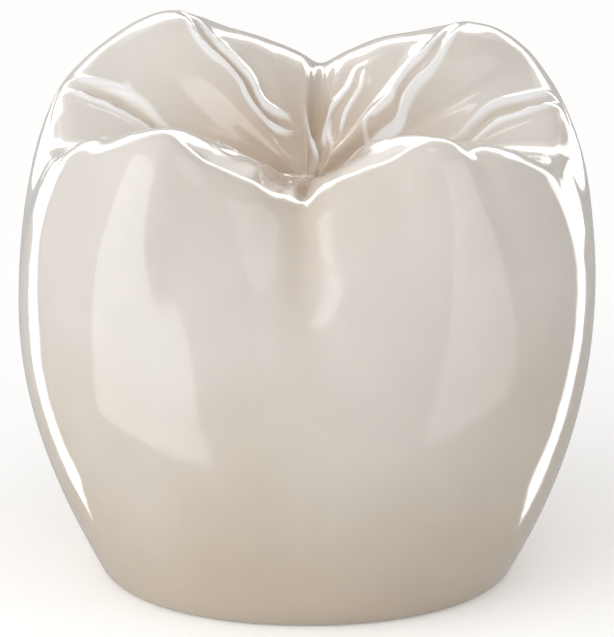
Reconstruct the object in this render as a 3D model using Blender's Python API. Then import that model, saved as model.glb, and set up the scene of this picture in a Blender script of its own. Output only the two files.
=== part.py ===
"""A ceramic dental crown for a four-cusped lower molar, standing on its margin.

X runs along the row of teeth, the cheek side faces -Y and the tongue side +Y.
"""

import math

import bmesh
import bpy
import numpy as np

MM = 0.001

# Sizes are in millimetres. Four values name a size to the left, right, cheek and tongue side.

# The whole crown: its length along the row of teeth, its depth from cheek to tongue, and the
# height of its highest cusp before the tip is rounded
LENGTH = 11.0
DEPTH = 9.36
TIP_HEIGHT = 10.27

# The widest line round the crown, and its height above the margin
CONTOUR_HALF = (LENGTH / 2, LENGTH / 2, DEPTH / 2, DEPTH / 2)
CONTOUR_SQUARENESS = 2.45
CONTOUR_HEIGHT = (5.3, 5.9, 3.3, 3.8)

# The margin at Z = 0: how far in it lies from the widest line, the slope at which the wall
# leaves it, and its rounded outer edge
MARGIN_INSET = (1.60, 1.61, 1.15, 1.15)
MARGIN_SQUARENESS = 2.12
MARGIN_FLARE = (0.53, 0.57, 0.72, 0.72)
MARGIN_EDGE_RADIUS = 0.12

# The lean of the wall where it meets the crest of the cusps, and the radius that joins them
CREST_LEAN = (-0.62, -0.62, -0.80, -0.70)
CREST_ROUND = (0.34, 0.34, 0.36, 0.80)

# The crest that links the cusp tips round the chewing surface: the direction in degrees from +X,
# how far in it lies from the widest line, the drop from the highest cusp, and the width of its top
CREST = (
    # left end, up to the left cheek cusp
    (180.0, 0.74, 1.82, 0.12),
    (-168.7, 0.81, 1.53, 0.22),
    (-162.0, 0.97, 1.21, 0.40),
    (-154.8, 1.16, 1.08, 0.55),
    (-145.8, 1.40, 0.79, 0.32),
    (-135.7, 1.58, 0.67, 0.38),
    # down to the notch of the cheek side
    (-123.5, 1.78, 1.23, 1.05),
    (-115.8, 1.81, 1.45, 1.08),
    (-108.2, 1.83, 1.64, 1.35),
    (-101.8, 1.81, 1.87, 1.45),
    (-91.9, 1.73, 2.06, 0.40),
    # up to the right cheek cusp
    (-80.2, 1.81, 1.63, 0.56),
    (-70.2, 1.85, 1.40, 0.85),
    (-61.8, 1.85, 1.21, 1.30),
    (-52.5, 1.76, 0.90, 0.80),
    # down to the right end
    (-46.8, 1.68, 0.80, 0.34),
    (-41.8, 1.60, 0.86, 0.12),
    (-36.9, 1.49, 1.06, 0.10),
    (-31.8, 1.37, 1.11, 0.24),
    (-25.5, 1.17, 1.26, 0.75),
    (-18.9, 0.96, 1.51, 0.80),
    (-11.5, 0.79, 1.79, 0.30),
    (0.0, 0.68, 1.86, 0.12),
    # up to the right tongue cusp
    (11.1, 0.61, 1.41, 0.12),
    (17.7, 0.64, 1.15, 0.45),
    (24.7, 0.67, 0.88, 0.70),
    (30.6, 0.79, 0.51, 0.80),
    (35.8, 0.94, 0.30, 0.85),
    (41.4, 1.16, 0.24, 0.85),
    # down to the notch of the tongue side
    (46.8, 1.38, 0.31, 0.85),
    (53.5, 1.56, 0.42, 0.80),
    (64.6, 1.70, 0.55, 0.75),
    (75.0, 1.71, 0.80, 0.65),
    (85.3, 1.66, 1.05, 0.60),
    # up to the left tongue cusp
    (93.8, 1.68, 0.80, 0.62),
    (106.8, 1.71, 0.52, 0.72),
    (119.6, 1.67, 0.29, 0.78),
    (125.7, 1.58, 0.13, 0.80),
    (133.4, 1.40, 0.00, 0.80),
    # down to the left end
    (140.6, 1.16, 0.17, 0.80),
    (146.8, 0.97, 0.44, 0.75),
    (152.8, 0.80, 0.72, 0.65),
    (159.8, 0.71, 0.99, 0.45),
    (168.6, 0.72, 1.40, 0.12),
)

# The hollow between the cusps: its depth below the highest cusp, and how its slopes bend.
# A low power gives the domed slope of a cusp, and a high one the dip towards a notch.
FOSSA_DEPTH = 2.42
CUSP_SLOPE_POWER = (1.25, 1.25, 3.00, 1.25)
NOTCH_SLOPE_POWER = 2.10
NOTCH_CREST_DROP = 1.57
CUSP_CREST_DROP = 0.47

# The crest's top falls slightly outwards. Its height carries over this distance inwards.
CREST_FALL_BEND = 0.01
CREST_REACH = 1.3

# The shallow hollows down the two ends, between the cheek and the tongue cusps
END_HOLLOW_DEPTH = 0.05
END_HOLLOW_WIDTH = 0.50
END_HOLLOW_Y = 0.35
END_HOLLOW_START = 6.3
END_HOLLOW_FULL = 8.3

# The soft groove from the notch of the cheek side down the wall
CHEEK_GROOVE_DEPTH = 0.27
CHEEK_GROOVE_WIDTH = 0.80
CHEEK_GROOVE_X = -0.06
CHEEK_GROOVE_START = 5.8
CHEEK_GROOVE_FULL = 8.4

# The grooves of the chewing surface: x, y, half width of the floor, depth, height of the lips
GROOVES = {
    "left tongue cusp": (
        (-2.36, 2.40, 0.03, 0.00, 0.02),
        (-2.16, 2.08, 0.05, 0.03, 0.06),
        (-2.00, 1.78, 0.07, 0.06, 0.09),
        (-1.76, 1.53, 0.07, 0.07, 0.10),
        (-1.48, 1.39, 0.07, 0.08, 0.10),
        (-1.17, 1.19, 0.07, 0.08, 0.10),
        (-1.02, 0.97, 0.07, 0.08, 0.10),
        (-0.84, 0.83, 0.07, 0.08, 0.09),
        (-0.56, 0.76, 0.06, 0.07, 0.08),
        (-0.23, 0.76, 0.04, 0.02, 0.02),
    ),
    "right tongue cusp": (
        (2.96, 2.55, 0.03, 0.00, 0.02),
        (2.78, 2.20, 0.05, 0.03, 0.05),
        (2.64, 1.88, 0.06, 0.04, 0.07),
        (2.34, 1.42, 0.06, 0.05, 0.09),
        (1.99, 1.16, 0.07, 0.06, 0.10),
        (1.78, 0.96, 0.07, 0.07, 0.10),
        (1.67, 0.80, 0.07, 0.07, 0.10),
        (1.36, 0.64, 0.06, 0.06, 0.09),
        (1.19, 0.57, 0.03, 0.01, 0.05),
    ),
    "left end": (
        (-4.60, 1.48, 0.03, 0.00, 0.02),
        (-4.27, 1.33, 0.06, 0.05, 0.08),
        (-3.87, 1.19, 0.07, 0.07, 0.09),
        (-3.45, 1.02, 0.07, 0.07, 0.09),
        (-3.08, 0.86, 0.06, 0.06, 0.07),
        (-2.80, 0.66, 0.05, 0.06, 0.05),
        (-2.40, 0.40, 0.04, 0.05, 0.03),
        (-1.60, 0.14, 0.04, 0.05, 0.02),
        (-0.60, 0.12, 0.04, 0.05, 0.02),
        (0.24, 0.14, 0.04, 0.05, 0.00),
    ),
    "right end": (
        (4.82, 1.24, 0.03, 0.00, 0.02),
        (4.50, 1.10, 0.06, 0.05, 0.08),
        (4.08, 0.96, 0.07, 0.06, 0.09),
        (3.56, 0.81, 0.07, 0.07, 0.09),
        (3.24, 0.64, 0.06, 0.06, 0.07),
        (2.93, 0.42, 0.05, 0.06, 0.05),
        (2.40, 0.24, 0.04, 0.05, 0.03),
        (1.60, 0.12, 0.04, 0.05, 0.02),
        (0.90, 0.12, 0.04, 0.05, 0.02),
        (0.24, 0.14, 0.04, 0.05, 0.00),
    ),
    "tongue side": (
        (0.22, 2.75, 0.03, 0.00, 0.00),
        (0.21, 2.15, 0.08, 0.02, 0.00),
        (0.21, 1.69, 0.12, 0.05, 0.01),
        (0.21, 1.31, 0.16, 0.08, 0.02),
        (0.21, 1.01, 0.13, 0.09, 0.04),
        (0.25, 0.78, 0.07, 0.07, 0.06),
        (0.33, 0.44, 0.05, 0.06, 0.04),
        (0.24, 0.12, 0.04, 0.05, 0.00),
    ),
    "tongue side lobe": (
        (1.02, 1.60, 0.02, 0.00, 0.02),
        (0.90, 1.32, 0.04, 0.02, 0.06),
        (0.72, 1.16, 0.06, 0.03, 0.07),
        (0.57, 1.02, 0.08, 0.03, 0.07),
        (0.50, 0.80, 0.08, 0.03, 0.06),
        (0.50, 0.60, 0.05, 0.01, 0.03),
    ),
    "cheek side": (
        (-0.10, -2.45, 0.03, 0.00, 0.00),
        (-0.10, -2.05, 0.04, 0.04, 0.01),
        (-0.05, -1.50, 0.05, 0.06, 0.03),
        (0.10, -0.70, 0.05, 0.06, 0.02),
        (0.24, 0.14, 0.04, 0.05, 0.00),
    ),
    "left cheek cusp": (
        (-1.70, -1.65, 0.03, 0.00, 0.01),
        (-1.45, -1.42, 0.05, 0.04, 0.05),
        (-1.20, -1.22, 0.06, 0.05, 0.07),
        (-0.80, -0.98, 0.05, 0.05, 0.06),
        (-0.35, -0.75, 0.03, 0.01, 0.02),
    ),
    "right cheek cusp": (
        (1.90, -1.60, 0.03, 0.00, 0.01),
        (1.65, -1.38, 0.05, 0.04, 0.05),
        (1.38, -1.18, 0.06, 0.05, 0.07),
        (0.98, -0.95, 0.05, 0.05, 0.06),
        (0.55, -0.70, 0.03, 0.01, 0.02),
    ),
}
GROOVE_BANK = 0.14
LIP_OFFSET = 0.15
LIP_INNER_WIDTH = 0.09
LIP_OUTER_WIDTH = 0.18

# The grooves fade out where the chewing surface has passed its crest, over these distances
RELIEF_FADE_START = -0.12
RELIEF_FADE_END = 0.22

# The hollow that takes the prepared tooth: the ceramic left at its mouth and under the
# fossa, its draft, the rise of its roof under the cusps, and its rounded roof edge
SOCKET_MOUTH_WALL = (0.70, 0.68)
SOCKET_ROOF_WALL = 1.75
SOCKET_SQUARENESS = 2.8
SOCKET_DRAFT = math.radians(4)
SOCKET_ROOF_RISE = 0.85
SOCKET_ROOF_VALLEY = 2.0
SOCKET_EDGE_RADIUS = 0.60

# How finely the surfaces are divided
SEGMENTS = 120
TABLE_RINGS = 24
CREST_RINGS = 6
WALL_RINGS = 8
FOOT_RINGS = 2
SOCKET_SEGMENTS = 56
RAY_HEIGHT = 1.5
RIM_DROP = 1.27
RIM_SHARE = 0.9
BELOW_CREST = 0.5

CERAMIC_COLOR = (0.66, 0.59, 0.51, 1.0)


def smooth_step(low, high, x):
    t = np.clip((x - low) / (high - low), 0, 1)
    return t * t * (3 - 2 * t)


def hermite(t, start, start_slope, end, end_slope):
    """The cubic from start to end with those slopes, at t from 0 to 1."""
    square = t * t
    cube = square * t
    return (
        (2 * cube - 3 * square + 1) * start
        + (cube - 2 * square + t) * start_slope
        + (3 * square - 2 * cube) * end
        + (cube - square) * end_slope
    )


def closed_curve(angle, knots, values):
    """A smooth value all round the crown, through values at the knots, in degrees."""
    order = np.argsort(knots % 360)
    knots = (knots % 360)[order]
    values = values[order]
    knots = np.concatenate([knots[-3:] - 360, knots, knots[:3] + 360])
    values = np.concatenate([values[-3:], values, values[:3]])
    step = np.diff(knots)
    rise = np.diff(values) / step
    slope = np.zeros_like(values)
    slope[1:-1] = (rise[:-1] * step[1:] + rise[1:] * step[:-1]) / (step[:-1] + step[1:])
    span = np.clip(np.searchsorted(knots, angle % 360) - 1, 0, len(step) - 1)
    t = (angle % 360 - knots[span]) / step[span]
    return hermite(
        t,
        values[span],
        slope[span] * step[span],
        values[span + 1],
        slope[span + 1] * step[span],
    )


def by_side(c, s, sizes):
    """The left, right, cheek and tongue values, blended by direction."""
    left, right, cheek, tongue = sizes
    return np.where(c < 0, left, right) * c * c + np.where(s < 0, cheek, tongue) * s * s


def oval(c, s, sizes, squareness):
    """The radius of a squarish oval towards the direction (c, s)."""
    left, right, cheek, tongue = sizes
    across = np.abs(c) / np.where(c < 0, left, right)
    along = np.abs(s) / np.where(s < 0, cheek, tongue)
    return (across**squareness + along**squareness) ** (-1 / squareness)


def crest_at(angle):
    """The plan radius and the height of the crest, and the width of its top."""
    knots, inset, drop, width = np.array(CREST).T
    c = np.cos(np.radians(angle))
    s = np.sin(np.radians(angle))
    radius = oval(c, s, CONTOUR_HALF, CONTOUR_SQUARENESS) - closed_curve(angle, knots, inset)
    height = TIP_HEIGHT - closed_curve(angle, knots, drop)
    return radius, height, closed_curve(angle, knots, width)


def margin_half():
    return tuple(half - inset for half, inset in zip(CONTOUR_HALF, MARGIN_INSET))


class Wall:
    """The outer wall, lofted from the margin through the widest line to the crest."""

    def __init__(self, angle):
        self.c = np.cos(np.radians(angle))
        self.s = np.sin(np.radians(angle))
        self.crest_radius, self.crest_height = crest_at(angle)[:2]
        self.margin = oval(self.c, self.s, margin_half(), MARGIN_SQUARENESS)
        self.contour = oval(self.c, self.s, CONTOUR_HALF, CONTOUR_SQUARENESS)
        self.contour_height = by_side(self.c, self.s, CONTOUR_HEIGHT)
        self.flare = by_side(self.c, self.s, MARGIN_FLARE)
        self.lean = by_side(self.c, self.s, CREST_LEAN)
        self.round = by_side(self.c, self.s, CREST_ROUND)
        self.cusp_power = by_side(self.c, self.s, CUSP_SLOPE_POWER)
        before = crest_at(angle - 1)[0]
        after = crest_at(angle + 1)[0]
        back = np.radians(angle - 1)
        run = np.radians(angle + 1)
        along_x = after * np.cos(run) - before * np.cos(back)
        along_y = after * np.sin(run) - before * np.sin(back)
        length = np.hypot(along_x, along_y)
        self.normal_x = along_y / length
        self.normal_y = -along_x / length

    def radius(self, z):
        low = hermite(
            np.clip(z / self.contour_height, 0, 1),
            self.margin,
            self.flare * self.contour_height,
            self.contour,
            0,
        )
        rise = self.crest_height - self.contour_height
        high = hermite(
            np.clip((z - self.contour_height) / rise, 0, 1),
            self.contour,
            0,
            self.crest_radius,
            self.lean * rise,
        )
        high = high + np.clip(z - self.crest_height, 0, None) * self.lean
        radius = np.where(z < self.contour_height, low, high)
        off_middle = (radius * self.s - END_HOLLOW_Y) / END_HOLLOW_WIDTH
        hollow = END_HOLLOW_DEPTH * smooth_step(END_HOLLOW_START, END_HOLLOW_FULL, z)
        at_end = np.abs(self.c) > 0.6
        off_notch = np.abs(radius * self.c - CHEEK_GROOVE_X) / CHEEK_GROOVE_WIDTH
        groove = CHEEK_GROOVE_DEPTH * smooth_step(CHEEK_GROOVE_START, CHEEK_GROOVE_FULL, z)
        at_cheek = self.s < -0.6
        edge = MARGIN_EDGE_RADIUS
        drop = np.clip(edge - z, 0, edge)
        tuck = edge - np.sqrt(edge * edge - drop * drop)
        radius = radius - at_end * hollow * np.exp(-off_middle * off_middle)
        return radius - at_cheek * groove * np.exp(-(off_notch**1.3)) - tuck


def table_height(radius, wall):
    """The height of the chewing surface before its grooves are cut.

    Each point takes its height from the part of the crest that lies straight outwards from it.
    """
    fossa = TIP_HEIGHT - FOSSA_DEPTH
    inside = np.clip(wall.crest_radius - radius, 0, CREST_REACH)
    inside = inside * (wall.c * wall.normal_x + wall.s * wall.normal_y)
    edge_x = radius * wall.c + inside * wall.normal_x
    edge_y = radius * wall.s + inside * wall.normal_y
    crest_height, width = crest_at(np.degrees(np.arctan2(edge_y, edge_x)))[1:]
    ridge = wall.crest_radius - width
    top = crest_height + CREST_FALL_BEND * width * width
    drop = TIP_HEIGHT - crest_height
    cusp = 1 - smooth_step(CUSP_CREST_DROP, NOTCH_CREST_DROP, drop)
    power = NOTCH_SLOPE_POWER + (wall.cusp_power - NOTCH_SLOPE_POWER) * cusp
    share = np.sin(0.5 * np.pi * np.clip(radius / ridge, 0, 1)) ** power
    beyond = np.clip(radius - ridge, 0, None)
    return fossa + (top - fossa) * share - CREST_FALL_BEND * beyond * beyond


def groove_path(points, steps=6):
    """A smooth curve through a groove's points."""
    points = np.array(points)
    last = len(points) - 1
    path = []
    for i in range(last):
        before = points[max(i - 1, 0)]
        start = points[i]
        end = points[i + 1]
        after = points[min(i + 2, last)]
        for t in np.arange(steps) / steps:
            path.append(hermite(t, start, (end - before) / 2, end, (after - start) / 2))
    path.append(points[last])
    return np.array(path)


def relief(x, y):
    """How far the grooves and their lips move the chewing surface up."""
    move = np.zeros_like(x)
    for points in GROOVES.values():
        path = groove_path(points)
        nearest = np.full(x.shape, np.inf)
        sizes = np.zeros(x.shape + (3,))
        for start, end in zip(path[:-1], path[1:]):
            run = end[:2] - start[:2]
            t = ((x - start[0]) * run[0] + (y - start[1]) * run[1]) / run.dot(run)
            t = np.clip(t, 0, 1)
            away = np.hypot(x - start[0] - t * run[0], y - start[1] - t * run[1])
            closer = away < nearest
            nearest = np.where(closer, away, nearest)
            here = start[2:] + t[..., None] * (end[2:] - start[2:])
            sizes = np.where(closer[..., None], here, sizes)
        half_width, depth, lip = np.moveaxis(sizes, -1, 0)
        move -= depth * (1 - smooth_step(half_width, half_width + GROOVE_BANK, nearest))
        past = nearest - half_width - LIP_OFFSET
        width = np.where(past < 0, LIP_INNER_WIDTH, LIP_OUTER_WIDTH)
        move += lip * np.exp(-((past / width) ** 2))
    return move


def point_on_surface(wall, start_height, elevation):
    """Where a ray from the crown's axis leaves it, with the wall and table blended."""
    out = np.cos(elevation)
    up = np.sin(elevation)
    near = np.zeros_like(out)
    far = np.full_like(out, 20.0)
    for _ in range(40):
        middle = (near + far) / 2
        radius = middle * out
        z = start_height + middle * up
        past_wall = radius - wall.radius(z)
        past_table = z - table_height(radius, wall)
        overlap = np.clip(wall.round - np.abs(past_wall - past_table), 0, None)
        past = np.maximum(past_wall, past_table) + overlap * overlap / (4 * wall.round)
        near = np.where(past < 0, middle, near)
        far = np.where(past < 0, far, middle)
    radius = near * out
    x = radius * wall.c
    y = radius * wall.s
    z = start_height + near * up
    on_table = 1 - smooth_step(RELIEF_FADE_START, RELIEF_FADE_END, radius - wall.crest_radius)
    on_table = on_table * (elevation > 0.9)
    return np.stack([x, y, z + on_table * relief(x, y)], axis=1)


def outer_rings():
    """Rings of points from the middle of the chewing surface out and down to the margin."""
    angle = np.arange(SEGMENTS) * 360 / SEGMENTS
    wall = Wall(angle)
    rings = []
    rise = TIP_HEIGHT - RIM_DROP - RAY_HEIGHT
    rim = RIM_SHARE * wall.crest_radius
    for i in range(1, TABLE_RINGS + 1):
        elevation = np.arctan2(rise, rim * i / TABLE_RINGS)
        rings.append(point_on_surface(wall, RAY_HEIGHT, elevation))
    top = wall.crest_height - BELOW_CREST
    above = np.arctan2(rise, rim)
    below = np.arctan2(top - RAY_HEIGHT, wall.radius(top))
    for i in range(1, CREST_RINGS + 1):
        elevation = above + (below - above) * i / CREST_RINGS
        rings.append(point_on_surface(wall, RAY_HEIGHT, elevation))
    for i in range(1, WALL_RINGS + 1):
        z = top + (RAY_HEIGHT - top) * i / WALL_RINGS
        elevation = np.arctan2(z - RAY_HEIGHT, wall.radius(z))
        rings.append(point_on_surface(wall, RAY_HEIGHT, elevation))
    foot = list(RAY_HEIGHT * (1 - np.arange(1, FOOT_RINGS) / FOOT_RINGS))
    edge = MARGIN_EDGE_RADIUS
    foot += [edge, 0.4 * edge, 0.0]
    for z in foot:
        radius = wall.radius(np.full(SEGMENTS, z))
        level = np.full(SEGMENTS, z)
        rings.append(np.stack([radius * wall.c, radius * wall.s, level], axis=1))
    return rings


def socket_roof():
    return TIP_HEIGHT - FOSSA_DEPTH - SOCKET_ROOF_WALL


def socket_rings():
    """Rings of points from below the margin up the socket's wall and over its roof."""
    angle = np.arange(SOCKET_SEGMENTS) * 2 * math.pi / SOCKET_SEGMENTS
    c = np.cos(angle)
    s = np.sin(angle)
    left, right, cheek, tongue = margin_half()
    end_wall, side_wall = SOCKET_MOUTH_WALL
    half = (left - end_wall, right - end_wall, cheek - side_wall, tongue - side_wall)
    mouth = oval(c, s, half, SOCKET_SQUARENESS)

    def ring(radius, height):
        return np.stack([radius * c, radius * s, height], axis=1)

    def roof(radius):
        side = smooth_step(0, SOCKET_ROOF_VALLEY, np.abs(radius * s))
        return socket_roof() + SOCKET_ROOF_RISE * side

    edge = SOCKET_EDGE_RADIUS
    top = mouth - math.tan(SOCKET_DRAFT) * socket_roof()
    below = np.full(SOCKET_SEGMENTS, -1.0)
    rings = [ring(mouth + math.tan(SOCKET_DRAFT), below)]
    for turn in np.radians([0, 22.5, 45, 67.5, 90]):
        radius = top - edge * (1 - math.cos(turn))
        rings.append(ring(radius, roof(radius) - edge * (1 - math.sin(turn))))
    for share in (0.75, 0.5, 0.25):
        radius = (top - edge) * share
        rings.append(ring(radius, roof(radius)))
    return rings


def lofted_object(name, rings, tip, collection):
    """A closed mesh through the rings, from a tip point to a flat face on the last ring."""
    mesh = bpy.data.meshes.new(name)
    shape = bmesh.new()
    tip = shape.verts.new([value * MM for value in tip])
    loops = [[shape.verts.new(point * MM) for point in ring] for ring in rings]
    count = len(rings[0])
    for j in range(count):
        shape.faces.new((tip, loops[0][j], loops[0][(j + 1) % count]))
    for upper, lower in zip(loops[:-1], loops[1:]):
        for j in range(count):
            k = (j + 1) % count
            shape.faces.new((upper[j], lower[j], lower[k], upper[k]))
    shape.faces.new(loops[-1][::-1])
    bmesh.ops.recalc_face_normals(shape, faces=shape.faces)
    shape.to_mesh(mesh)
    shape.free()
    made = bpy.data.objects.new(name, mesh)
    collection.objects.link(made)
    return made


def ceramic_material():
    material = bpy.data.materials.new("glazed_ceramic")
    material.use_nodes = True
    shader = material.node_tree.nodes["Principled BSDF"]
    shader.inputs["Base Color"].default_value = CERAMIC_COLOR
    shader.inputs["Roughness"].default_value = 0.08
    shader.inputs["Metallic"].default_value = 0.0
    shader.inputs["IOR"].default_value = 1.55
    material.diffuse_color = CERAMIC_COLOR
    return material


def new_collection(name):
    collection = bpy.data.collections.new(name)
    bpy.context.scene.collection.children.link(collection)
    return collection


def build_crown():
    parts = new_collection("ceramic_dental_crown")
    cutters = new_collection("cutters")

    middle = relief(np.array([0.0]), np.array([0.0]))[0]
    fossa = (0, 0, TIP_HEIGHT - FOSSA_DEPTH + middle)
    crown = lofted_object("crown", outer_rings(), fossa, parts)
    crown.data.materials.append(ceramic_material())

    roof = (0, 0, socket_roof())
    socket = lofted_object("socket_cutter", socket_rings()[::-1], roof, cutters)
    socket.hide_render = True
    socket.display_type = "WIRE"

    cut = crown.modifiers.new("socket", "BOOLEAN")
    cut.operation = "DIFFERENCE"
    cut.solver = "EXACT"
    cut.object = socket

    crown.data.shade_smooth()
    crown.data.set_sharp_from_angle(angle=math.radians(50))


for item in list(bpy.data.objects):
    bpy.data.objects.remove(item)
build_crown()
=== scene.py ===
"""The looks of the ceramic dental crown: its full form, its glaze, the studio and the camera.

The frame is the CAD model's. X runs along the row of teeth and the cheek side faces -Y.
"""

import math

import bpy
import numpy as np
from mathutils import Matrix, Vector

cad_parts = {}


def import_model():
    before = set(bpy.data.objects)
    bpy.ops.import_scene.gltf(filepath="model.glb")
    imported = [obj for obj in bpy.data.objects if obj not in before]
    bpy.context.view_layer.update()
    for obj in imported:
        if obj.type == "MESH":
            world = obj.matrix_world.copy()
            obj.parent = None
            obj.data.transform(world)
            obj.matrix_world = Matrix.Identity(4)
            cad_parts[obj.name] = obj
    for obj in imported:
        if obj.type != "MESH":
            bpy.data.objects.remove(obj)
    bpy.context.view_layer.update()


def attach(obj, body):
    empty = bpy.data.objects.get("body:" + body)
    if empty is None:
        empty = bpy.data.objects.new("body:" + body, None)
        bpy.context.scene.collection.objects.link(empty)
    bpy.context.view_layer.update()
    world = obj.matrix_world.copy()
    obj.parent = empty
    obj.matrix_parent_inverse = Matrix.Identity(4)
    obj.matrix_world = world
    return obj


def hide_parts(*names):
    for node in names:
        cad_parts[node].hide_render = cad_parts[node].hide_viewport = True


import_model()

MM = 0.001

# Sizes are in millimetres, except those of the floor and the lamps, which are in metres.
# Four values name a size to the left, right, cheek and tongue side.

# The margin at Z = 0, the slope at which the wall leaves it, and its rounded outer edge
MARGIN_HALF = (3.90, 3.89, 3.53, 3.53)
MARGIN_SQUARENESS = 2.12
MARGIN_FLARE = (0.53, 0.57, 0.72, 0.72)
MARGIN_EDGE_RADIUS = 0.12

# The widest line round the crown, and its height above the margin
CONTOUR_HALF = (5.50, 5.50, 4.68, 4.68)
CONTOUR_SQUARENESS = 2.45
CONTOUR_HEIGHT = (5.3, 5.9, 3.3, 3.8)

# The lean of the wall where it meets the crest of the cusps, and the radius that joins them
CREST_LEAN = (-0.62, -0.62, -0.80, -0.70)
CREST_ROUND = (0.34, 0.34, 0.36, 0.80)

# The crest that links the cusp tips round the chewing surface: x, y and height of its outer
# edge, and the width of its top
CREST = (
    # left end, up to the left cheek cusp
    (-4.76, 0.00, 8.45, 0.26),
    (-4.64, -0.93, 8.74, 0.32),
    (-4.38, -1.42, 9.06, 0.40),
    (-4.00, -1.88, 9.19, 0.55),
    (-3.41, -2.32, 9.48, 0.32),
    (-2.72, -2.65, 9.60, 0.38),
    # down to the notch of the cheek side
    (-1.85, -2.80, 9.04, 1.05),
    (-1.38, -2.85, 8.82, 1.08),
    (-0.94, -2.86, 8.63, 1.08),
    (-0.60, -2.88, 8.40, 0.82),
    (-0.10, -2.95, 8.21, 0.48),
    # up to the right cheek cusp
    (0.50, -2.88, 8.64, 0.62),
    (1.02, -2.84, 8.87, 0.85),
    (1.50, -2.80, 9.06, 1.30),
    (2.10, -2.74, 9.37, 0.80),
    # down to the right end
    (2.50, -2.66, 9.47, 0.34),
    (2.85, -2.55, 9.41, 0.12),
    (3.20, -2.40, 9.21, 0.10),
    (3.55, -2.20, 9.16, 0.24),
    (3.98, -1.90, 9.01, 0.75),
    (4.37, -1.50, 8.76, 0.66),
    (4.66, -0.95, 8.48, 0.46),
    (4.82, 0.00, 8.41, 0.34),
    # up to the right tongue cusp
    (4.84, 0.95, 8.86, 0.26),
    (4.70, 1.50, 9.12, 0.45),
    (4.46, 2.05, 9.39, 0.70),
    (4.10, 2.42, 9.76, 0.80),
    (3.70, 2.67, 9.97, 0.85),
    (3.20, 2.82, 10.03, 0.85),
    # down to the notch of the tongue side
    (2.70, 2.88, 9.96, 0.85),
    (2.16, 2.92, 9.85, 0.80),
    (1.40, 2.95, 9.72, 0.75),
    (0.80, 2.98, 9.47, 0.65),
    (0.25, 3.02, 9.22, 0.60),
    # up to the left tongue cusp
    (-0.20, 3.00, 9.47, 0.62),
    (-0.90, 2.98, 9.75, 0.72),
    (-1.67, 2.94, 9.98, 0.78),
    (-2.10, 2.92, 10.14, 0.80),
    (-2.70, 2.86, 10.27, 0.80),
    # down to the left end
    (-3.32, 2.73, 10.10, 0.80),
    (-3.82, 2.50, 9.83, 0.75),
    (-4.24, 2.18, 9.55, 0.65),
    (-4.57, 1.68, 9.28, 0.45),
    (-4.73, 0.95, 8.87, 0.22),
)

# The hollow between the cusps: its lowest height, and how its slopes bend on the way up.
# A low power gives the domed slope of a cusp, and a high one the dip towards a notch.
FOSSA_HEIGHT = 7.85
CUSP_SLOPE_POWER = (1.25, 1.25, 3.00, 1.25)
NOTCH_SLOPE_POWER = 2.10
NOTCH_CREST_HEIGHT = 8.7
CUSP_CREST_HEIGHT = 9.8

# How the crest's top bends down outwards, and how far inwards the chewing surface follows
# the part of the crest that lies square to it
CREST_FALL_BEND = 0.01
CREST_REACH = 1.3

# The wall's own hollows lie where it faces within about 53 degrees of their side
FACING_SHARE = 0.6

# The shallow hollows down the two ends, between the cheek and the tongue cusps
END_HOLLOW_DEPTH = 0.05
END_HOLLOW_WIDTH = 0.50
END_HOLLOW_Y = 0.35
END_HOLLOW_START = 6.3
END_HOLLOW_FULL = 8.3

# The soft groove from the notch of the cheek side down the wall
CHEEK_GROOVE_DEPTH = 0.27
CHEEK_GROOVE_WIDTH = 0.80
CHEEK_GROOVE_X = -0.06
CHEEK_GROOVE_START = 5.8
CHEEK_GROOVE_FULL = 8.4
CHEEK_GROOVE_SHARPNESS = 1.3

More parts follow.
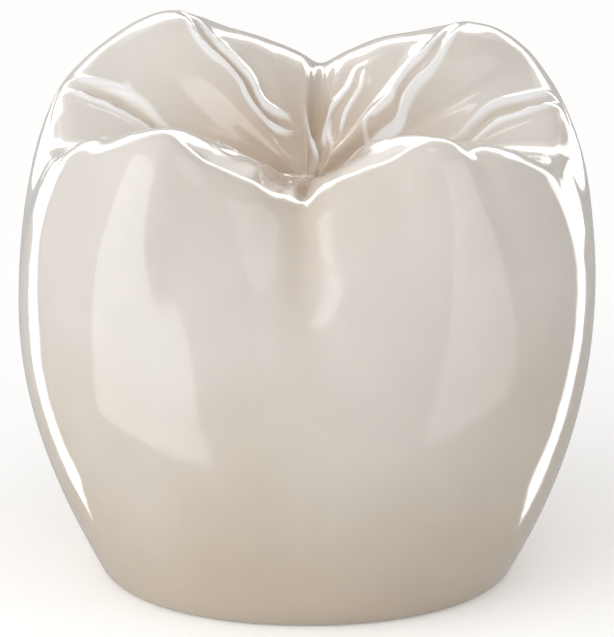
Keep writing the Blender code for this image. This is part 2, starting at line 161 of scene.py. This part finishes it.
# The grooves of the chewing surface: x, y, half width of the floor, depth, height of the lips
GROOVES = {
    "left tongue cusp": (
        (-2.36, 2.40, 0.03, 0.00, 0.02),
        (-2.16, 2.08, 0.05, 0.03, 0.06),
        (-2.00, 1.78, 0.07, 0.06, 0.09),
        (-1.76, 1.53, 0.07, 0.07, 0.10),
        (-1.48, 1.39, 0.06, 0.07, 0.10),
        (-1.17, 1.19, 0.05, 0.07, 0.10),
        (-1.02, 0.97, 0.04, 0.07, 0.10),
        (-0.84, 0.83, 0.03, 0.06, 0.09),
        (-0.56, 0.76, 0.03, 0.05, 0.08),
        (-0.23, 0.76, 0.02, 0.02, 0.02),
    ),
    "right tongue cusp": (
        (2.96, 2.55, 0.03, 0.00, 0.02),
        (2.78, 2.20, 0.05, 0.03, 0.05),
        (2.64, 1.88, 0.06, 0.04, 0.07),
        (2.34, 1.42, 0.06, 0.05, 0.09),
        (1.99, 1.16, 0.05, 0.06, 0.10),
        (1.78, 0.96, 0.03, 0.06, 0.09),
        (1.67, 0.80, 0.02, 0.06, 0.09),
        (1.36, 0.64, 0.01, 0.05, 0.08),
        (1.19, 0.57, 0.01, 0.01, 0.05),
    ),
    "left end": (
        (-4.60, 1.48, 0.03, 0.00, 0.02),
        (-4.27, 1.31, 0.05, 0.05, 0.07),
        (-3.87, 1.16, 0.06, 0.07, 0.07),
        (-3.45, 0.99, 0.06, 0.07, 0.06),
        (-3.08, 0.82, 0.05, 0.06, 0.05),
        (-2.80, 0.62, 0.04, 0.06, 0.04),
        (-2.40, 0.40, 0.04, 0.05, 0.03),
        (-1.60, 0.14, 0.04, 0.05, 0.02),
        (-0.60, 0.12, 0.04, 0.05, 0.02),
        (0.24, 0.14, 0.04, 0.05, 0.00),
    ),
    "right end": (
        (4.82, 1.24, 0.03, 0.00, 0.02),
        (4.50, 1.09, 0.05, 0.05, 0.08),
        (4.08, 0.94, 0.06, 0.06, 0.08),
        (3.56, 0.79, 0.06, 0.07, 0.07),
        (3.24, 0.59, 0.05, 0.06, 0.05),
        (2.93, 0.38, 0.04, 0.06, 0.04),
        (2.40, 0.24, 0.04, 0.05, 0.03),
        (1.60, 0.12, 0.04, 0.05, 0.02),
        (0.90, 0.12, 0.04, 0.05, 0.02),
        (0.24, 0.14, 0.04, 0.05, 0.00),
    ),
    "tongue side": (
        (0.22, 2.75, 0.03, 0.00, 0.00),
        (0.21, 2.15, 0.08, 0.02, 0.00),
        (0.21, 1.69, 0.12, 0.05, 0.01),
        (0.21, 1.31, 0.16, 0.08, 0.02),
        (0.21, 1.01, 0.13, 0.09, 0.04),
        (0.25, 0.78, 0.07, 0.07, 0.06),
        (0.33, 0.44, 0.05, 0.06, 0.04),
        (0.24, 0.12, 0.04, 0.05, 0.00),
    ),
    "tongue side lobe": (
        (1.02, 1.60, 0.02, 0.00, 0.02),
        (0.90, 1.32, 0.04, 0.02, 0.06),
        (0.72, 1.16, 0.06, 0.03, 0.07),
        (0.57, 1.02, 0.08, 0.03, 0.07),
        (0.50, 0.80, 0.08, 0.03, 0.06),
        (0.50, 0.60, 0.05, 0.01, 0.03),
    ),
    "cheek side": (
        (-0.10, -2.45, 0.03, 0.00, 0.00),
        (-0.10, -2.05, 0.04, 0.04, 0.01),
        (-0.05, -1.50, 0.05, 0.06, 0.03),
        (0.10, -0.70, 0.05, 0.06, 0.02),
        (0.24, 0.14, 0.04, 0.05, 0.00),
    ),
    "left cheek cusp": (
        (-1.70, -1.65, 0.03, 0.00, 0.01),
        (-1.45, -1.42, 0.05, 0.04, 0.05),
        (-1.20, -1.22, 0.06, 0.05, 0.07),
        (-0.80, -0.98, 0.05, 0.05, 0.06),
        (-0.35, -0.75, 0.03, 0.01, 0.02),
    ),
    "right cheek cusp": (
        (1.90, -1.60, 0.03, 0.00, 0.01),
        (1.65, -1.38, 0.05, 0.04, 0.05),
        (1.38, -1.18, 0.06, 0.05, 0.07),
        (0.98, -0.95, 0.05, 0.05, 0.06),
        (0.55, -0.70, 0.03, 0.01, 0.02),
    ),
}

# The bank of a groove, how far past it the lip stands, and the lip's width on either side
GROOVE_BANK = 0.07
LIP_OFFSET = 0.08
LIP_INNER_WIDTH = 0.05
LIP_OUTER_WIDTH = 0.09

# Grooves and lips fade out between these shares of the crest's plan radius, and lie only where
# a ray from the axis rises by more than this angle, in radians
RELIEF_FADE_START = 0.97
RELIEF_FADE_END = 1.06
RELIEF_LEAST_ELEVATION = 0.9

# The hollow that takes the prepared tooth: its mouth, draft, roof and rounded edges
SOCKET_HALF = (3.20, 3.20, 2.85, 2.85)
SOCKET_SQUARENESS = 2.8
SOCKET_DRAFT = math.radians(4)
SOCKET_ROOF_MIDDLE = 6.10
SOCKET_ROOF_SIDE = 6.95
SOCKET_ROOF_VALLEY = 2.0
SOCKET_EDGE_RADIUS = 0.60
MOUTH_EDGE_RADIUS = 0.05

# How finely the surfaces are divided
SEGMENTS = 440
TABLE_RINGS = 118
CREST_RINGS = 40
WALL_RINGS = 24
FOOT_RINGS = 6
EDGE_RINGS = (0.7, 0.4, 0.2, 0.05, 0.0)
GROOVE_STEPS = 6

# Rays from the axis at this height find the surface, with their reach halved so many times.
# The rings of the chewing surface end inside the crest, and those of the crest end below it.
RAY_HEIGHT = 1.5
RAY_REACH = 20.0
RAY_HALVINGS = 36
TABLE_RIM_HEIGHT = 9.0
TABLE_RIM_SHARE = 0.9
BELOW_CREST = 0.5

# Colours of the ceramic: by the cusps, by the margin, painted shade down the cheek groove, stain
# and painted shade in the fossa, stain in the grooves, a painted highlight on their lips, and the
# fitting side
ENAMEL = (0.80, 0.755, 0.70, 1)
CERVICAL = (0.73, 0.635, 0.52, 1)
CHEEK_GROOVE_SHADE = (0.73, 0.65, 0.56, 1)
FOSSA_STAIN_AND_SHADE = (0.68, 0.57, 0.47, 1)
STAIN = (0.52, 0.38, 0.22, 1)
LIP_HIGHLIGHT = (1.0, 0.99, 0.98, 1)
FITTING = (0.80, 0.76, 0.70, 1)

# Where those colours lie: each pair is where a change of colour starts and where it ends
CERVICAL_FADE = (0.6, 6.0)
CERVICAL_WANDER = 0.9
FOSSA_RADIUS = (0.5, 4.4)
FOSSA_FLOOR = (7.3, 7.7)
FOSSA_TOP = (8.3, 9.9)
CHEEK_SHADE_X = -0.1
CHEEK_SHADE_WIDTH = (0.05, 0.7)
CHEEK_SHADE_DEPTH = (-2.2, -1.4)
CHEEK_SHADE_HEIGHT = (4.5, 7.6)
STAIN_DEPTH = (0.03, 0.10)
# The lip heights over which the painted highlight on the groove lips comes in
LIP_HIGHLIGHT_HEIGHT = (0.02, 0.06)

# Gloss and body of the ceramic, and its relief too fine for the mesh
GLAZE_ROUGHNESS = (0.085, 0.13)
FITTING_ROUGHNESS = 0.55
GLAZE_IOR = 1.55
SUBSURFACE_SHARE = 0.25
SUBSURFACE_RADIUS = (1.0, 0.7, 0.5)
SUBSURFACE_DEPTH = 0.6
BUMP_HEIGHT = 0.012

# Half the floor's width, its own colour, the colour and the glow that it is seen with, and the
# colour of the studio round it
FLOOR_HALF = 0.6
FLOOR = (0.80, 0.79, 0.78, 1)
FLOOR_SEEN = (0.95, 0.95, 0.95, 1)
FLOOR_GLOW = 0.25
STUDIO = (0.49, 0.485, 0.48, 1)

# The photo's frame, and the line of sight
FRAME_HEIGHT = 12.203
CAMERA_ELEVATION = math.radians(20.7)
CAMERA_LENS = 1200
CAMERA_SENSOR = 36
CAMERA_AIM_UP = 4.617

# The soft lamps light the crown, and the panels only show in its glaze: azimuth and elevation
# in degrees, width, height, power and colour. All face the same point on the axis.
LAMP_DISTANCE = 0.5
LAMP_AIM_HEIGHT = 0.005
SOFT_LAMPS = {
    "key": (-62, 12, 0.50, 0.50, 1.62, (0.98, 0.99, 1.00)),
    "fill": (78, 6, 0.50, 0.50, 0.28, (1.00, 0.87, 0.72)),
    "over": (5, 66, 0.50, 0.50, 0.62, (1.00, 1.00, 1.00)),
}
PANELS = {
    "left_window": (-47, 7, 0.52, 0.56, 2.1, (0.92, 0.96, 1.00)),
    "right_window": (47, 12, 0.42, 0.60, 0.90, (0.92, 0.96, 1.00)),
    "left_strip": (-135, 0, 0.13, 0.78, 1.4, (1.00, 1.00, 1.00)),
    "right_strip": (135, 0, 0.13, 0.78, 1.4, (1.00, 1.00, 1.00)),
    "left_low": (-150, -8, 0.14, 0.08, 0.12, (1.00, 1.00, 1.00)),
    "right_low": (150, -8, 0.14, 0.08, 0.12, (1.00, 1.00, 1.00)),
    "back_bar": (180, 35, 0.76, 0.19, 2.2, (1.00, 1.00, 1.00)),
    "back_wall": (180, 39, 1.10, 0.38, 1.6, (1.00, 1.00, 1.00)),
    "top_panel": (-20, 80, 0.10, 0.08, 0.08, (1.00, 1.00, 1.00)),
}


def smooth_step(low, high, x):
    """0 up to low, 1 from high on, and a smooth run between."""
    t = np.clip((x - low) / (high - low), 0, 1)
    return t * t * (3 - 2 * t)


def hermite(t, start, start_slope, end, end_slope):
    """The cubic from start to end with those slopes, at t from 0 to 1."""
    square = t * t
    cube = square * t
    return (
        (2 * cube - 3 * square + 1) * start
        + (cube - 2 * square + t) * start_slope
        + (3 * square - 2 * cube) * end
        + (cube - square) * end_slope
    )


def closed_curve(angle, knots, values):
    """A smooth value all round the crown, through values at the knots, in degrees."""
    order = np.argsort(knots % 360)
    knots = (knots % 360)[order]
    values = values[order]
    knots = np.concatenate([knots[-3:] - 360, knots, knots[:3] + 360])
    values = np.concatenate([values[-3:], values, values[:3]])
    step = np.diff(knots)
    rise = np.diff(values) / step
    slope = np.zeros_like(values)
    slope[1:-1] = (rise[:-1] * step[1:] + rise[1:] * step[:-1]) / (step[:-1] + step[1:])
    span = np.clip(np.searchsorted(knots, angle % 360) - 1, 0, len(step) - 1)
    t = (angle % 360 - knots[span]) / step[span]
    return hermite(
        t,
        values[span],
        slope[span] * step[span],
        values[span + 1],
        slope[span + 1] * step[span],
    )


def by_side(c, s, sizes):
    """The left, right, cheek and tongue values, blended by direction."""
    left, right, cheek, tongue = sizes
    return np.where(c < 0, left, right) * c * c + np.where(s < 0, cheek, tongue) * s * s


def oval(c, s, sizes, squareness):
    """The radius of a squarish oval towards the direction (c, s)."""
    left, right, cheek, tongue = sizes
    across = np.abs(c) / np.where(c < 0, left, right)
    along = np.abs(s) / np.where(s < 0, cheek, tongue)
    return (across**squareness + along**squareness) ** (-1 / squareness)


def crest_at(angle):
    """The plan radius and the height of the crest's outer edge, and the width of its top."""
    points = np.array(CREST)
    knots = np.degrees(np.arctan2(points[:, 1], points[:, 0]))
    radius = closed_curve(angle, knots, np.hypot(points[:, 0], points[:, 1]))
    height = closed_curve(angle, knots, points[:, 2])
    return radius, height, closed_curve(angle, knots, points[:, 3])


class Wall:
    """The outer wall, lofted from the margin through the widest line to the crest."""

    def __init__(self, angle):
        self.c = np.cos(np.radians(angle))
        self.s = np.sin(np.radians(angle))
        self.crest_radius, self.crest_height = crest_at(angle)[:2]
        before = crest_at(angle - 1)[0]
        after = crest_at(angle + 1)[0]
        run = np.radians(angle + 1)
        back = np.radians(angle - 1)
        along_x = after * np.cos(run) - before * np.cos(back)
        along_y = after * np.sin(run) - before * np.sin(back)
        length = np.hypot(along_x, along_y)
        self.normal_x = along_y / length
        self.normal_y = -along_x / length
        self.margin = oval(self.c, self.s, MARGIN_HALF, MARGIN_SQUARENESS)
        self.contour = oval(self.c, self.s, CONTOUR_HALF, CONTOUR_SQUARENESS)
        self.contour_height = by_side(self.c, self.s, CONTOUR_HEIGHT)
        self.flare = by_side(self.c, self.s, MARGIN_FLARE)
        self.lean = by_side(self.c, self.s, CREST_LEAN)
        self.round = by_side(self.c, self.s, CREST_ROUND)
        self.cusp_power = by_side(self.c, self.s, CUSP_SLOPE_POWER)

    def radius(self, z):
        low = hermite(
            np.clip(z / self.contour_height, 0, 1),
            self.margin,
            self.flare * self.contour_height,
            self.contour,
            0,
        )
        rise = self.crest_height - self.contour_height
        high = hermite(
            np.clip((z - self.contour_height) / rise, 0, 1),
            self.contour,
            0,
            self.crest_radius,
            self.lean * rise,
        )
        high = high + np.clip(z - self.crest_height, 0, None) * self.lean
        radius = np.where(z < self.contour_height, low, high)
        off_middle = (radius * self.s - END_HOLLOW_Y) / END_HOLLOW_WIDTH
        hollow = END_HOLLOW_DEPTH * smooth_step(END_HOLLOW_START, END_HOLLOW_FULL, z)
        at_end = np.abs(self.c) > FACING_SHARE
        off_notch = np.abs(radius * self.c - CHEEK_GROOVE_X) / CHEEK_GROOVE_WIDTH
        groove = CHEEK_GROOVE_DEPTH * smooth_step(CHEEK_GROOVE_START, CHEEK_GROOVE_FULL, z)
        at_cheek = self.s < -FACING_SHARE
        edge = MARGIN_EDGE_RADIUS
        drop = np.clip(edge - z, 0, edge)
        tuck = edge - np.sqrt(edge * edge - drop * drop)
        radius = radius - at_end * hollow * np.exp(-off_middle * off_middle)
        radius = radius - at_cheek * groove * np.exp(-(off_notch**CHEEK_GROOVE_SHARPNESS))
        return radius - tuck


def table_height(radius, wall):
    """The height of the chewing surface before its grooves are cut.

    It follows the part of the crest that is straight outwards from each place.
    """
    inside = np.clip(wall.crest_radius - radius, 0, CREST_REACH)
    inside = inside * (wall.c * wall.normal_x + wall.s * wall.normal_y)
    edge_x = radius * wall.c + inside * wall.normal_x
    edge_y = radius * wall.s + inside * wall.normal_y
    crest_height, width = crest_at(np.degrees(np.arctan2(edge_y, edge_x)))[1:]
    ridge = wall.crest_radius - width
    top = crest_height + CREST_FALL_BEND * width * width
    cusp = smooth_step(NOTCH_CREST_HEIGHT, CUSP_CREST_HEIGHT, crest_height)
    power = NOTCH_SLOPE_POWER + (wall.cusp_power - NOTCH_SLOPE_POWER) * cusp
    share = np.sin(0.5 * np.pi * np.clip(radius / ridge, 0, 1)) ** power
    beyond = np.clip(radius - ridge, 0, None)
    height = FOSSA_HEIGHT + (top - FOSSA_HEIGHT) * share
    return height - CREST_FALL_BEND * beyond * beyond


def groove_path(points):
    """A smooth curve through a groove's points."""
    points = np.array(points)
    last = len(points) - 1
    path = []
    for i in range(last):
        before = points[max(i - 1, 0)]
        start = points[i]
        end = points[i + 1]
        after = points[min(i + 2, last)]
        for t in np.arange(GROOVE_STEPS) / GROOVE_STEPS:
            path.append(hermite(t, start, (end - before) / 2, end, (after - start) / 2))
    path.append(points[last])
    return np.array(path)


def relief(x, y):
    """How far grooves and lips lift the chewing surface, and how much of each there is."""
    move = np.zeros_like(x)
    cut = np.zeros_like(x)
    raised = np.zeros_like(x)
    for points in GROOVES.values():
        path = groove_path(points)
        nearest = np.full(x.shape, np.inf)
        sizes = np.zeros(x.shape + (3,))
        for start, end in zip(path[:-1], path[1:]):
            run = end[:2] - start[:2]
            t = ((x - start[0]) * run[0] + (y - start[1]) * run[1]) / run.dot(run)
            t = np.clip(t, 0, 1)
            away = np.hypot(x - start[0] - t * run[0], y - start[1] - t * run[1])
            closer = away < nearest
            nearest = np.where(closer, away, nearest)
            here = start[2:] + t[..., None] * (end[2:] - start[2:])
            sizes = np.where(closer[..., None], here, sizes)
        half_width, depth, lip = np.moveaxis(sizes, -1, 0)
        floor = depth * (1 - smooth_step(half_width, half_width + GROOVE_BANK, nearest))
        past = nearest - half_width - LIP_OFFSET
        width = np.where(past < 0, LIP_INNER_WIDTH, LIP_OUTER_WIDTH)
        edge = lip * np.exp(-((past / width) ** 2))
        move += edge - floor
        cut = np.maximum(cut, floor)
        raised = np.maximum(raised, edge)
    return move, cut, raised


def point_on_surface(wall, elevation):
    """Where a ray from the crown's axis leaves it, and how much groove and lip there is."""
    out = np.cos(elevation)
    up = np.sin(elevation)
    near = np.zeros_like(out)
    far = np.full_like(out, RAY_REACH)
    for _ in range(RAY_HALVINGS):
        middle = (near + far) / 2
        radius = middle * out
        z = RAY_HEIGHT + middle * up
        past_wall = radius - wall.radius(z)
        past_table = z - table_height(radius, wall)
        overlap = np.clip(wall.round - np.abs(past_wall - past_table), 0, None)
        past = np.maximum(past_wall, past_table) + overlap * overlap / (4 * wall.round)
        near = np.where(past < 0, middle, near)
        far = np.where(past < 0, far, middle)
    radius = near * out
    x = radius * wall.c
    y = radius * wall.s
    z = RAY_HEIGHT + near * up
    share = radius / wall.crest_radius
    on_table = 1 - smooth_step(RELIEF_FADE_START, RELIEF_FADE_END, share)
    on_table = on_table * (elevation > RELIEF_LEAST_ELEVATION)
    move, cut, raised = relief(x, y)
    points = np.stack([x, y, z + on_table * move], axis=-1)
    return points, np.stack([on_table * cut, on_table * raised], axis=-1)


def outer_rings(angle):
    """Rings from the middle of the chewing surface out and down to the margin."""
    wall = Wall(angle)
    rise = TABLE_RIM_HEIGHT - RAY_HEIGHT
    rim = TABLE_RIM_SHARE * wall.crest_radius
    share = np.arange(1, TABLE_RINGS + 1)[:, None] / TABLE_RINGS
    table = np.arctan2(rise, rim * share)
    top = wall.crest_height - BELOW_CREST
    above = np.arctan2(rise, rim)
    below = np.arctan2(top - RAY_HEIGHT, wall.radius(top))
    share = np.arange(1, CREST_RINGS + 1)[:, None] / CREST_RINGS
    crest = above + (below - above) * share
    share = np.arange(1, WALL_RINGS + 1)[:, None] / WALL_RINGS
    z = top + (RAY_HEIGHT - top) * share
    side = np.arctan2(z - RAY_HEIGHT, wall.radius(z))
    upper, marks = point_on_surface(wall, np.concatenate([table, crest, side]))

    edge = MARGIN_EDGE_RADIUS
    z = RAY_HEIGHT + (edge - RAY_HEIGHT) * np.arange(1, FOOT_RINGS + 1) / FOOT_RINGS
    z = np.concatenate([z, edge * np.array(EDGE_RINGS)])[:, None]
    z = z * np.ones_like(angle)
    radius = wall.radius(z)
    foot = np.stack([radius * wall.c, radius * wall.s, z], axis=-1)
    return np.concatenate([upper, foot]), np.concatenate([marks, np.zeros(z.shape + (2,))])


def socket_rings(angle):
    """Rings from the socket's mouth up its wall and over its roof to the middle."""
    c = np.cos(np.radians(angle))
    s = np.sin(np.radians(angle))
    mouth = oval(c, s, SOCKET_HALF, SOCKET_SQUARENESS)

    def roof(radius):
        side = smooth_step(0, SOCKET_ROOF_VALLEY, np.abs(radius * s))
        return SOCKET_ROOF_MIDDLE + (SOCKET_ROOF_SIDE - SOCKET_ROOF_MIDDLE) * side

    def ring(radius, height):
        return np.stack([radius * c, radius * s, height + np.zeros_like(c)], axis=-1)

    rings = []
    for turn in np.radians([0, 30, 60, 90]):
        back = MOUTH_EDGE_RADIUS * (1 - math.sin(turn))
        rings.append(ring(mouth + back, MOUTH_EDGE_RADIUS * (1 - math.cos(turn))))
    edge = SOCKET_EDGE_RADIUS
    top = mouth - math.tan(SOCKET_DRAFT) * SOCKET_ROOF_MIDDLE
    for share in (0.2, 0.4, 0.6, 0.8):
        radius = mouth + (top - mouth) * share
        rings.append(ring(radius, (roof(top) - edge) * share))
    for turn in np.radians([0, 15, 30, 45, 60, 75, 90]):
        radius = top - edge * (1 - math.cos(turn))
        rings.append(ring(radius, roof(radius) - edge * (1 - math.sin(turn))))
    for share in (0.85, 0.7, 0.55, 0.4, 0.25, 0.1):
        radius = (top - edge) * share
        rings.append(ring(radius, roof(radius)))
    return np.array(rings)


def crown_mesh():
    """The crown as one closed mesh, which knows its grooves, its lips and its fitting side."""
    angle = np.arange(SEGMENTS) * 360 / SEGMENTS
    outside, marks = outer_rings(angle)
    inside = socket_rings(angle)
    move, cut, raised = relief(np.array([0.0]), np.array([0.0]))
    fossa = (0, 0, FOSSA_HEIGHT + move[0])
    roof = (0, 0, SOCKET_ROOF_MIDDLE)
    rings = np.concatenate([outside, inside])
    points = np.concatenate([[fossa], rings.reshape(-1, 3), [roof]]) * MM
    index = 1 + np.arange(rings.shape[0] * SEGMENTS).reshape(-1, SEGMENTS)
    beside = np.roll(index, -1, axis=1)
    quads = np.stack([index[:-1], index[1:], beside[1:], beside[:-1]], axis=-1)
    faces = quads.reshape(-1, 4).tolist()
    last = len(points) - 1
    for j in range(SEGMENTS):
        k = (j + 1) % SEGMENTS
        faces.append((0, index[0][j], index[0][k]))
        faces.append((last, index[-1][k], index[-1][j]))
    mesh = bpy.data.meshes.new("crown_looks")
    mesh.from_pydata(points.tolist(), [], faces)
    mesh.update()
    mesh.shade_smooth()

    within = np.zeros(inside[..., 0].size + 1)
    groove = np.concatenate([cut, marks[..., 0].ravel(), within])
    lip = np.concatenate([raised, marks[..., 1].ravel(), within])
    fitting = np.concatenate([np.zeros(len(points) - within.size), within + 1])
    for name, values in (("groove_depth", groove), ("lip", lip), ("fitting_side", fitting)):
        layer = mesh.attributes.new(name, "FLOAT", "POINT")
        layer.data.foreach_set("value", values)
    return mesh


class Nodes:
    """The node tree of a material or a world, built by name and value."""

    def __init__(self, owner):
        owner.use_nodes = True
        self.tree = owner.node_tree

    def add(self, kind, inputs=None, **settings):
        node = self.tree.nodes.new(kind)
        for name, value in settings.items():
            setattr(node, name, value)
        for name, value in (inputs or {}).items():
            if isinstance(value, bpy.types.NodeSocket):
                self.tree.links.new(value, node.inputs[name])
            else:
                node.inputs[name].default_value = value
        return node

    def math(self, operation, first, second=0.0):
        node = self.add("ShaderNodeMath", {0: first, 1: second}, operation=operation)
        return node.outputs[0]

    def span(self, value, low, high, start=0.0, end=1.0):
        """The value's smooth run from start at low to end at high."""
        inputs = {0: value, 1: low, 2: high, 3: start, 4: end}
        node = self.add("ShaderNodeMapRange", inputs, interpolation_type="SMOOTHSTEP")
        return node.outputs[0]

    def span_mm(self, value, ends, start=0.0, end=1.0):
        """The same, between two ends in millimetres."""
        low, high = ends
        return self.span(value, low * MM, high * MM, start, end)

    def product(self, first, *others):
        for other in others:
            first = self.math("MULTIPLY", first, other)
        return first

    def mix(self, share, first, second, blend="MIX"):
        inputs = {0: share, 6: first, 7: second}
        node = self.add("ShaderNodeMix", inputs, data_type="RGBA", blend_type=blend)
        return node.outputs[2]

    def noise(self, size, detail=2.0):
        """Smooth noise on the object, with lumps of about that size in millimetres."""
        inputs = {"Vector": self.position(), "Scale": 1 / (size * MM), "Detail": detail}
        return self.add("ShaderNodeTexNoise", inputs).outputs[0]

    def position(self):
        return self.add("ShaderNodeTexCoord").outputs["Object"]

    def attribute(self, name):
        return self.add("ShaderNodeAttribute", attribute_name=name).outputs["Fac"]


def glazed_ceramic():
    """Layered ivory ceramic under a fired glaze, bare and matt on its fitting side."""
    material = bpy.data.materials.new("glazed_ceramic_looks")
    nodes = Nodes(material)
    shader = nodes.tree.nodes["Principled BSDF"]
    place = nodes.add("ShaderNodeSeparateXYZ", {0: nodes.position()})
    x, y, z = place.outputs

    # Colour: warmer towards the margin, stain and painted shade in the fossa, painted shade down
    # the cheek groove, stained in the grooves, a painted highlight on the groove lips, and mottled
    wander = CERVICAL_WANDER * MM
    height = nodes.math("ADD", z, nodes.span(nodes.noise(4.0), 0.3, 0.7, -wander, wander))
    color = nodes.mix(nodes.span_mm(height, CERVICAL_FADE), CERVICAL, ENAMEL)
    squares = nodes.math("ADD", nodes.product(x, x), nodes.product(y, y))
    from_axis = nodes.math("POWER", squares, 0.5)
    # The fossa is warmer and darker: partly a stain of the ceramic, partly painted shade in the
    # hollow
    in_fossa = nodes.product(
        nodes.span_mm(from_axis, FOSSA_RADIUS, 1.0, 0.0),
        nodes.span_mm(z, FOSSA_FLOOR),
        nodes.span_mm(z, FOSSA_TOP, 1.0, 0.2),
    )
    color = nodes.mix(in_fossa, color, FOSSA_STAIN_AND_SHADE)
    # Painted shade: the cheek groove is darkened down the wall below its notch
    beside = nodes.math("ABSOLUTE", nodes.math("SUBTRACT", x, CHEEK_SHADE_X * MM))
    in_cheek_groove_shade = nodes.product(
        nodes.span_mm(beside, CHEEK_SHADE_WIDTH, 0.9, 0.0),
        nodes.span_mm(y, CHEEK_SHADE_DEPTH, 1.0, 0.0),
        nodes.span_mm(z, CHEEK_SHADE_HEIGHT),
    )
    color = nodes.mix(in_cheek_groove_shade, color, CHEEK_GROOVE_SHADE)
    stained = nodes.span(nodes.attribute("groove_depth"), *STAIN_DEPTH, 0.0, 0.42)
    color = nodes.mix(stained, color, STAIN)
    # Painted highlight: the raised lips of the grooves turn near white
    painted_lip_highlight = nodes.span(nodes.attribute("lip"), *LIP_HIGHLIGHT_HEIGHT)
    color = nodes.mix(painted_lip_highlight, color, LIP_HIGHLIGHT)
    fitting = nodes.attribute("fitting_side")
    color = nodes.mix(fitting, color, FITTING)
    mottle = nodes.span(nodes.noise(1.2, 4.0), 0.3, 0.7, 0.965, 1.0)
    cloud = nodes.add("ShaderNodeCombineColor", {0: mottle, 1: mottle, 2: mottle})
    color = nodes.mix(1.0, color, cloud.outputs[0], "MULTIPLY")

    # Gloss: an even glaze with faint dull clouds, and a blasted fitting side
    dull = nodes.span(nodes.noise(0.8, 3.0), 0.35, 0.75, *GLAZE_ROUGHNESS)
    rough = nodes.add("ShaderNodeMix", {0: fitting, 2: dull, 3: FITTING_ROUGHNESS})

    # Surface: the slow ripple of the glaze, and fine grain where it pooled in the fossa
    ripple = nodes.noise(1.1, 2.0)
    grain = nodes.product(nodes.noise(0.09, 2.0), in_fossa, 0.10)
    fine = nodes.product(nodes.noise(0.22, 3.0), 0.05)
    lift = nodes.math("ADD", ripple, nodes.math("ADD", grain, fine))
    inputs = {"Height": lift, "Distance": BUMP_HEIGHT * MM, "Strength": 1.0}
    bump = nodes.add("ShaderNodeBump", inputs)

    nodes.tree.links.new(color, shader.inputs["Base Color"])
    nodes.tree.links.new(rough.outputs[0], shader.inputs["Roughness"])
    nodes.tree.links.new(bump.outputs[0], shader.inputs["Normal"])
    shader.inputs["IOR"].default_value = GLAZE_IOR
    shader.inputs["Subsurface Weight"].default_value = SUBSURFACE_SHARE
    shader.inputs["Subsurface Radius"].default_value = SUBSURFACE_RADIUS
    shader.inputs["Subsurface Scale"].default_value = SUBSURFACE_DEPTH * MM
    return material


def seen_directly(nodes):
    """1 for a ray from the camera or one that gloss or glass sends on, and 0 for diffuse light."""
    path = nodes.add("ShaderNodeLightPath")
    seen = nodes.math("MAXIMUM", path.outputs["Is Camera Ray"], path.outputs["Is Glossy Ray"])
    return nodes.math("MAXIMUM", seen, path.outputs["Is Transmission Ray"])


def floor():
    """A pale floor that keeps the crown's shadow and runs into white."""
    half = FLOOR_HALF
    mesh = bpy.data.meshes.new("floor")
    corners = [(-half, -half, 0), (half, -half, 0), (half, half, 0), (-half, half, 0)]
    mesh.from_pydata(corners, [], [(0, 1, 2, 3)])
    piece = bpy.data.objects.new("floor", mesh)
    bpy.context.scene.collection.objects.link(piece)
    material = bpy.data.materials.new("floor")
    nodes = Nodes(material)
    shader = nodes.tree.nodes["Principled BSDF"]
    color = nodes.mix(seen_directly(nodes), FLOOR, FLOOR_SEEN)
    nodes.tree.links.new(color, shader.inputs["Base Color"])
    shader.inputs["Roughness"].default_value = 1.0
    shader.inputs["Specular IOR Level"].default_value = 0.0
    glow = nodes.math("MULTIPLY", seen_directly(nodes), FLOOR_GLOW)
    shader.inputs["Emission Color"].default_value = (1, 1, 1, 1)
    nodes.tree.links.new(glow, shader.inputs["Emission Strength"])
    mesh.materials.append(material)
    piece.visible_glossy = False
    return piece


def world():
    """Even light from all round."""
    made = bpy.data.worlds.new("studio")
    nodes = Nodes(made)
    nodes.tree.nodes["Background"].inputs["Color"].default_value = STUDIO
    return made


def lamp(name, azimuth, elevation, width, height, power, color):
    """An area lamp that faces the crown. Azimuth 0 is in front of the cheek side."""
    light = bpy.data.lights.new(name, "AREA")
    light.shape = "RECTANGLE"
    light.size = width
    light.size_y = height
    light.energy = power
    light.color = color
    turn = math.radians(azimuth)
    tilt = math.radians(elevation)
    away = (math.sin(turn) * math.cos(tilt), -math.cos(turn) * math.cos(tilt), math.sin(tilt))
    piece = bpy.data.objects.new(name, light)
    piece.location = Vector(away) * LAMP_DISTANCE + Vector((0, 0, LAMP_AIM_HEIGHT))
    piece.rotation_euler = Vector(away).to_track_quat("Z", "Y").to_euler()
    piece.visible_camera = False
    bpy.context.scene.collection.objects.link(piece)
    return piece


def camera():
    """A distant camera with a long lens, at the photo's angle."""
    data = bpy.data.cameras.new("camera")
    data.lens = CAMERA_LENS
    data.sensor_width = CAMERA_SENSOR
    distance = FRAME_HEIGHT * MM * CAMERA_LENS / data.sensor_width
    data.clip_start = 0.01
    data.clip_end = 3
    piece = bpy.data.objects.new("camera", data)
    up = Vector((0, math.sin(CAMERA_ELEVATION), math.cos(CAMERA_ELEVATION)))
    back = Vector((0, -math.cos(CAMERA_ELEVATION), math.sin(CAMERA_ELEVATION)))
    piece.location = up * CAMERA_AIM_UP * MM + back * distance
    piece.rotation_euler = (math.pi / 2 - CAMERA_ELEVATION, 0, 0)
    bpy.context.scene.collection.objects.link(piece)
    bpy.context.scene.camera = piece


crown = bpy.data.objects.new("crown_glazed", crown_mesh())
bpy.context.scene.collection.objects.link(crown)
crown.data.materials.append(glazed_ceramic())
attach(crown, "root")
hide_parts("crown")

floor()
for name, place in SOFT_LAMPS.items():
    lamp(name, *place).visible_glossy = False
for name, place in PANELS.items():
    lamp(name, *place).visible_diffuse = False
bpy.context.scene.world = world()
bpy.context.scene.view_settings.view_transform = "Standard"
camera()
